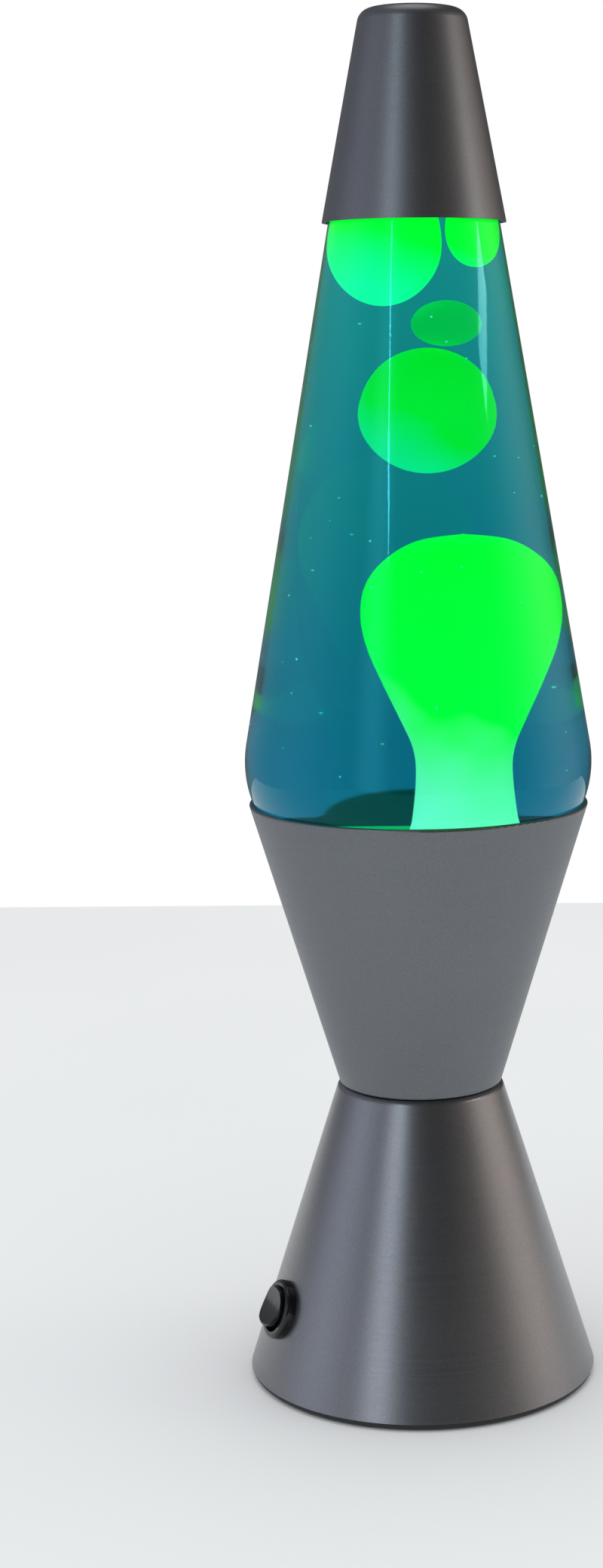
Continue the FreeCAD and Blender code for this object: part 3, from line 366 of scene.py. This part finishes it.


# --- the wax -------------------------------------------------------------------------------------

# Painted lamp light on the wax: these emission colours stand in for the bulb's light shining up into
# the wax. The foot colours are the brighter, mintier light low down and the crown colours the light at
# the top. The dim ones are weaker painted light on the pool and the far bead, and the column's foot
# colour is a painted near-white hotspot over the bulb.
PAINTED_LIGHT_GREEN_FOOT = (0.02, 1.0, 0.36)
PAINTED_LIGHT_GREEN_MIDDLE = (0.0, 0.95, 0.02)
PAINTED_LIGHT_GREEN_CROWN = (0.0, 0.88, 0.01)
PAINTED_DIM_LIGHT_FOOT = (0.0, 0.42, 0.10)
PAINTED_DIM_LIGHT_MIDDLE = (0.0, 0.40, 0.05)
COLUMN_PAINTED_HOTSPOT = (1.0, 1.0, 0.62)
LOWER_FULLNESS = 0.03
COLUMN_X = 9.0 * MM
POOL_Z = 156.0 * MM
POOL_SURFACE_FROM = 153.0 * MM
POOL_FALL_RIGHT, RIGHT_FROM, RIGHT_OVER = 4.5, 12.0 * MM, 12.0 * MM
POOL_FALL_FRONT, FRONT_FROM, FRONT_OVER = 6.0, 10.0 * MM, 26.0 * MM
# The column's outline, as (radius, height) in mm: a flared foot, a neck and a balloon.
COLUMN_KNOTS = [
    (14.2, 147.0), (12.6, 151.0), (11.2, 155.0), (9.8, 162.0), (9.4, 168.0), (10.2, 174.0),
    (12.6, 181.0), (15.9, 190.0), (18.9, 199.5), (20.0, 208.0), (18.9, 216.0), (15.2, 222.6),
    (9.0, 227.6), (0.0, 229.5)]


def centre_of(node):
    """The middle of a node's box, and half its size."""
    low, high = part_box(node)
    return (low + high) / 2, (high - low) / 2


def make_blob(name, node, foot, middle, crown, strength):
    """A wax mass on an ellipse, a little heavier on its lower side."""
    centre, half = centre_of(node)
    steps = 40
    points = []
    for step in range(steps + 1):
        angle = -math.pi / 2 + math.pi * step / steps
        radius = half[0] * math.cos(angle) * (1.0 + LOWER_FULLNESS * math.sin(-angle))
        points.append((max(radius, 0.0), centre[2] + half[2] * math.sin(angle)))
    points[0] = (0.0, points[0][1])
    points[-1] = (0.0, points[-1][1])
    place = (centre[0], centre[1])
    # The wax's visible colour is painted lamp light, given as an emission.
    material = wax_with_painted_lamp_light(f"{name}_glow", centre[2] - half[2], centre[2] + half[2], foot, middle,
                           crown, strength)
    data = turned(points, 96, lambda height: place,
                  lambda angle, height: 1.0 + 0.012 * math.sin(2 * angle + height * 300.0))
    return finish_mesh(name, data, material, "bottle", (node,))


def make_column():
    """The rising column: a balloon on a neck that spreads into the pool on the bottle's floor."""
    low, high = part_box("wax_column")
    floor_z = low[2]
    outline = smooth_line([(x * MM, z * MM) for x, z in COLUMN_KNOTS])
    lobe = [(0.0, COLUMN_KNOTS[0][1] * MM)] + outline
    lobe[-1] = (0.0, high[2])
    # The column's foot colour is a painted near-white hotspot where the bulb shines up into it.
    material = wax_with_painted_lamp_light("column_painted_lamp_light", 152.0 * MM, high[2], COLUMN_PAINTED_HOTSPOT, PAINTED_LIGHT_GREEN_MIDDLE,
                           PAINTED_LIGHT_GREEN_CROWN, 2.3)
    data = turned(lobe, 128, lambda height: (COLUMN_X, 0.0),
                  lambda angle, height: 1.0 + 0.01 * math.sin(2 * angle + height * 90.0))
    finish_mesh("wax_rising_column", data, material, "bottle")
    corners = [(0.0, floor_z, 0), (33.5 * MM, floor_z, 4.0 * MM), (42.3 * MM, POOL_Z, 2.5 * MM),
               (22.0 * MM, POOL_Z + 1.5 * MM, 8.0 * MM), (0.0, POOL_Z + 1.0 * MM, 0)]
    points = [tuple(point) for point in rounded_corners(corners)]
    pool = turned(points, 128)
    for vert in pool.verts:
        if vert.co.z > POOL_SURFACE_FROM:
            right = min(max((vert.co.x - RIGHT_FROM) / RIGHT_OVER, 0.0), 1.0)
            front = min(max((FRONT_FROM - vert.co.y) / FRONT_OVER, 0.0), 1.0)
            vert.co.z -= (POOL_FALL_RIGHT * right * right + POOL_FALL_FRONT * front * front) * MM
    # The pool's emission is dimmer painted lamp light.
    pool_material = wax_with_painted_lamp_light("pool_painted_lamp_light", floor_z, POOL_Z, PAINTED_DIM_LIGHT_FOOT, PAINTED_DIM_LIGHT_MIDDLE, PAINTED_DIM_LIGHT_MIDDLE, 3.0)
    return finish_mesh("wax_pool", pool, pool_material, "bottle", ("wax_column",))


BUBBLES = 46
BUBBLES_LOW, BUBBLES_HIGH = 166.0, 300.0


def make_bubbles():
    """Small bubbles and flecks that drift in the liquid, with painted glints: their emission stands in
    for the light they catch.
    """
    random.seed(7)
    data = bmesh.new()
    for _ in range(BUBBLES):
        height = random.uniform(BUBBLES_LOW, BUBBLES_HIGH) * MM
        room = 43.0 * MM - (height - 168.0 * MM) * 0.174
        angle = random.uniform(0, 2 * math.pi)
        reach = room * math.sqrt(random.uniform(0.35, 0.96))
        size = random.uniform(0.12, 0.34) * MM
        place = Matrix.Translation((reach * math.cos(angle), reach * math.sin(angle), height))
        bmesh.ops.create_icosphere(data, subdivisions=2, radius=size, matrix=place)
    material, tree, shader = new_material("bubble_painted_glint")
    fleck = noise(tree, 900.0, 1.0)
    tone = ramp(tree, fleck, "Fac", [(0.3, (0.25, 0.75, 0.70)), (0.7, (0.75, 1.0, 0.95))])
    # Painted glints: the bubbles' emission, teal to near white at random.
    link(tree, tone, "Color", shader, "Emission Color")
    shader.inputs["Emission Strength"].default_value = 0.9
    return finish_mesh("liquid_bubbles", data, material, "bottle")


# --- materials for the CAD nodes -----------------------------------------------------------------

def dress(names, material):
    for name in names.split():
        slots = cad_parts[name].material_slots
        for slot in slots:
            slot.material = material


def dress_nodes():
    """Every CAD node that stays gets its own procedural material."""
    # The base, cap and cup are one satin metal. The cap's and cup's darker colours, the cup's a little
    # bluer, are painted shade, not a different finish.
    dress("base_cone", satin_metal("base_satin", (0.235, 0.235, 0.245), 0.30))
    dress("cap", satin_metal("cap_satin_painted_shade", (0.19, 0.19, 0.20), 0.40))
    dress("cup", satin_metal("cup_satin_painted_shade", (0.185, 0.196, 0.212), 0.44))
    dress("bottom_cover screw_ring", moulded("cover_black", (0.012, 0.012, 0.013), 0.5))
    dress("foot_pads cap_ring", moulded("pad_rubber", (0.02, 0.02, 0.02), 0.8, 900.0, 0.3))
    dress("cord_grommet", moulded("grommet_nylon", (0.012, 0.012, 0.012), 0.42))
    dress("switch_housing switch_rocker",
          moulded("switch_gloss", (0.004, 0.004, 0.005), 0.16, 700.0, 0.03))
    dress("lampholder_body lampholder_dome clamp_ring_lower clamp_ring_upper",
          moulded("phenolic", (0.03, 0.018, 0.012), 0.35))
    dress("cover_screws heating_coil", moulded("screw_zinc", (0.55, 0.55, 0.56), 0.3, 2200.0, 0.1, 1.0))
    dress("switch_terminals terminal_inserts lampholder_shell lampholder_contact lampholder_terminals",
          moulded("brass", (0.72, 0.52, 0.22), 0.3, 2200.0, 0.1, 1.0))
    dress("terminal_block", moulded("white_nylon", (0.75, 0.75, 0.70), 0.45))
    dress("wire_live wire_switched", moulded("brown_insulation", (0.12, 0.045, 0.02), 0.4))
    dress("wire_neutral", moulded("blue_insulation", (0.02, 0.07, 0.32), 0.4))
    dress("bulb_shell", moulded("bulb_cap_metal", (0.62, 0.62, 0.60), 0.28, 2200.0, 0.1, 1.0))
    dress("bulb_insulator", moulded("black_glass", (0.01, 0.01, 0.01), 0.15, 600.0, 0.02))
    dress("bulb_tip bulb_filament", moulded("solder", (0.5, 0.5, 0.5), 0.4, 1500.0, 0.2, 1.0))
    dress("bulb_stem", moulded("stem_glass", (0.75, 0.80, 0.78), 0.1, 300.0, 0.02))
    dress("crown_cap", moulded("crown_tinplate", (0.66, 0.66, 0.66), 0.25, 2000.0, 0.08, 1.0))
    dress("crown_liner", moulded("liner", (0.7, 0.7, 0.66), 0.6))
    low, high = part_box("bulb_envelope")
    dress("bulb_envelope", lit_bulb("bulb_glow", low[2], high[2]))


def lit_bulb(name, low, high):
    """The bulb: a silvered back and a frosted front that glows warm white."""
    material, tree, shader = new_material(name)
    rise = height_factor(tree, low, high)
    metal = ramp(tree, rise, "Result", [(0.60, (1.0, 1.0, 1.0)), (0.68, (0.0, 0.0, 0.0))])
    link(tree, metal, "Color", shader, "Metallic")
    tone = ramp(tree, rise, "Result", [(0.60, (0.75, 0.75, 0.74)), (0.68, (0.9, 0.88, 0.82))])
    link(tree, tone, "Color", shader, "Base Color")
    lamp_glow_and_painted_light = ramp(tree, rise, "Result", [(0.62, (0.0, 0.0, 0.0)), (0.75, (1.0, 0.84, 0.58))])
    link(tree, lamp_glow_and_painted_light, "Color", shader, "Emission Color")
    shader.inputs["Emission Strength"].default_value = 2.2
    frost = noise(tree, 2500.0, 2.0)
    rough = spread(tree, frost, "Fac", 0.18, 0.32, 0.3, 0.7)
    link(tree, rough, "Result", shader, "Roughness")
    return material


# --- stage, light, camera ------------------------------------------------------------------------

def make_stage():
    """A plain pale floor."""
    data = bmesh.new()
    bmesh.ops.create_grid(data, x_segments=1, y_segments=1, size=0.62)
    mesh = bpy.data.meshes.new("floor")
    data.to_mesh(mesh)
    data.free()
    material, tree, shader = new_material("pale_floor")
    cloud = noise(tree, 3.0, 2.0)
    tone = ramp(tree, cloud, "Fac", [(0.3, (0.86, 0.86, 0.86)), (0.7, (0.90, 0.90, 0.90))])
    link(tree, tone, "Color", shader, "Base Color")
    shader.inputs["Roughness"].default_value = 0.9
    mesh.materials.append(material)
    floor = bpy.data.objects.new("floor", mesh)
    bpy.context.scene.collection.objects.link(floor)


def area_light(name, azimuth_deg, distance, low, high, width, colour, power):
    """An upright strip of light at an azimuth from the front, facing the lamp's axis."""
    azimuth = math.radians(azimuth_deg)
    light = bpy.data.lights.new(name, "AREA")
    light.shape = "RECTANGLE"
    light.size, light.size_y = width, high - low
    light.color = colour
    light.energy = power
    lamp = bpy.data.objects.new(name, light)
    lamp.location = (distance * math.sin(azimuth), -distance * math.cos(azimuth), (low + high) / 2)
    towards = Vector((-lamp.location.x, -lamp.location.y, 0.0))
    lamp.rotation_euler = towards.to_track_quat("-Z", "Z").to_euler()
    lamp.visible_transmission = False
    bpy.context.scene.collection.objects.link(lamp)


def low_lobe(tree, split, azimuth_deg, half_width_deg, colour):
    """A soft patch of light low on the studio wall, seen only as a reflection in the metal."""
    forward = add(tree, "ShaderNodeMath", operation="MULTIPLY")
    link(tree, split, "Y", forward, 0)
    forward.inputs[1].default_value = -1.0
    azimuth = add(tree, "ShaderNodeMath", operation="ARCTAN2")
    link(tree, split, "X", azimuth, 0)
    link(tree, forward, "Value", azimuth, 1)
    offset = add(tree, "ShaderNodeMath", operation="SUBTRACT")
    link(tree, azimuth, "Value", offset, 0)
    offset.inputs[1].default_value = math.radians(azimuth_deg)
    away = add(tree, "ShaderNodeMath", operation="ABSOLUTE")
    link(tree, offset, "Value", away, 0)
    across = spread(tree, away, "Value", 1.0, 0.0, 0.0, math.radians(half_width_deg))
    across.interpolation_type = "SMOOTHSTEP"
    upward = spread(tree, split, "Z", 1.0, 0.0, 0.25, 0.5)
    upward.interpolation_type = "SMOOTHSTEP"
    both = add(tree, "ShaderNodeMath", operation="MULTIPLY")
    link(tree, across, "Result", both, 0)
    link(tree, upward, "Result", both, 1)
    tinted = add(tree, "ShaderNodeVectorMath", operation="SCALE")
    tinted.inputs[0].default_value = colour
    link(tree, both, "Value", tinted, "Scale")
    return tinted


STRIP_DISTANCE = 1.2
# Soft patches on the wall: azimuth from the front, half width (both in degrees) and colour.
SOFT_PATCHES = [
    (-31.0, 16.0, (1.75, 1.90, 2.15)),
    (98.0, 44.0, (0.98, 0.84, 0.77)),
    (-78.0, 40.0, (0.50, 0.54, 0.66))]


def make_lights():
    """A narrow cool strip at the left, a warm one at the right, a soft box above, a pale world."""
    area_light("cool_strip", -30.0, STRIP_DISTANCE, 0.50, 1.14, 0.018, (0.70, 0.92, 1.0), 1.1)
    area_light("warm_strip", 84.0, STRIP_DISTANCE, 0.40, 0.86, 0.06, (0.92, 0.95, 0.88), 0.9)
    top = bpy.data.lights.new("soft_top", "AREA")
    top.shape = "DISK"
    top.size = 1.6
    top.energy = 9.0
    above = bpy.data.objects.new("soft_top", top)
    above.location = (0.0, 0.2, 2.2)
    bpy.context.scene.collection.objects.link(above)
    world = bpy.data.worlds.new("studio")
    bpy.context.scene.world = world
    world.use_nodes = True
    tree = world.node_tree
    where = add(tree, "ShaderNodeTexCoord")
    split = add(tree, "ShaderNodeSeparateXYZ")
    link(tree, where, "Generated", split, "Vector")
    sides = spread(tree, split, "X", 0.0, 1.0, -1.0, 1.0)
    wall = ramp(tree, sides, "Result", [
        (0.0, (0.34, 0.37, 0.43)), (0.22, (0.26, 0.27, 0.30)), (0.45, (0.095, 0.10, 0.105)),
        (0.72, (0.08, 0.08, 0.08)), (1.0, (0.30, 0.27, 0.24))])
    lobes = [low_lobe(tree, split, *patch) for patch in SOFT_PATCHES]
    dim = tree.nodes["Background"]
    whole = lobes[0]
    for part in lobes[1:] + [wall]:
        total = add(tree, "ShaderNodeVectorMath", operation="ADD")
        tree.links.new(whole.outputs[0], total.inputs[0])
        tree.links.new(part.outputs[0], total.inputs[1])
        whole = total
    link(tree, whole, "Vector", dim, "Color")
    pale = add(tree, "ShaderNodeBackground")
    pale.inputs["Color"].default_value = (0.96, 0.98, 1.0, 1.0)
    pale.inputs["Strength"].default_value = 0.80
    white = add(tree, "ShaderNodeBackground")
    white.inputs["Color"].default_value = (1.0, 1.0, 1.0, 1.0)
    path = add(tree, "ShaderNodeLightPath")
    through = add(tree, "ShaderNodeMath", operation="SUBTRACT", use_clamp=True)
    link(tree, path, "Is Glossy Ray", through, 0)
    link(tree, path, "Is Transmission Ray", through, 1)
    by_mirror = add(tree, "ShaderNodeMixShader")
    link(tree, through, "Value", by_mirror, 0)
    tree.links.new(pale.outputs[0], by_mirror.inputs[1])
    tree.links.new(dim.outputs[0], by_mirror.inputs[2])
    by_camera = add(tree, "ShaderNodeMixShader")
    link(tree, path, "Is Camera Ray", by_camera, 0)
    tree.links.new(by_mirror.outputs[0], by_camera.inputs[1])
    tree.links.new(white.outputs[0], by_camera.inputs[2])
    tree.links.new(by_camera.outputs[0], tree.nodes["World Output"].inputs["Surface"])


CAMERA_DISTANCE = 0.6856
CAMERA_HEIGHT = 0.27515
CAMERA_PITCH = 9.238
CAMERA_ROLL = -0.447
CAMERA_LENS = 59.34
CAMERA_SHIFT = -0.0745


def make_camera():
    """The camera, a little above the lamp's middle and looking slightly down."""
    data = bpy.data.cameras.new("camera")
    data.lens = CAMERA_LENS
    data.shift_x = CAMERA_SHIFT
    data.sensor_width = 36.0
    camera = bpy.data.objects.new("camera", data)
    pitch, roll = math.radians(CAMERA_PITCH), math.radians(CAMERA_ROLL)
    look = Vector((0.0, math.cos(pitch), -math.sin(pitch)))
    up = Vector((0.0, math.sin(pitch), math.cos(pitch)))
    right = Vector((1.0, 0.0, 0.0))
    rolled_right = right * math.cos(roll) + up * math.sin(roll)
    rolled_up = up * math.cos(roll) - right * math.sin(roll)
    turn = Matrix((rolled_right, rolled_up, -look)).transposed()
    camera.matrix_world = Matrix.Translation((0.0, -CAMERA_DISTANCE, CAMERA_HEIGHT)) @ turn.to_4x4()
    bpy.context.scene.collection.objects.link(camera)
    bpy.context.scene.camera = camera


def main():
    make_bottle()
    make_column()
    make_blob("wax_large_ball", "wax_ball", PAINTED_LIGHT_GREEN_FOOT, PAINTED_LIGHT_GREEN_MIDDLE, PAINTED_LIGHT_GREEN_CROWN, 1.45)
    # The far bead's dimmer emission is painted lamp light, weakened as if by the liquid in front of it.
    make_blob("wax_small_bead", "wax_bead", PAINTED_DIM_LIGHT_MIDDLE, PAINTED_DIM_LIGHT_MIDDLE, PAINTED_DIM_LIGHT_MIDDLE, 1.9)
    make_blob("wax_mass_left", "wax_upper_left", PAINTED_LIGHT_GREEN_FOOT, PAINTED_LIGHT_GREEN_MIDDLE, PAINTED_LIGHT_GREEN_CROWN, 1.75)
    make_blob("wax_mass_right", "wax_upper_right", PAINTED_LIGHT_GREEN_FOOT, PAINTED_LIGHT_GREEN_MIDDLE, PAINTED_LIGHT_GREEN_CROWN, 1.75)
    make_bubbles()
    dress_nodes()
    make_stage()
    make_lights()
    make_camera()
    bpy.context.scene.view_settings.view_transform = "Standard"


main()
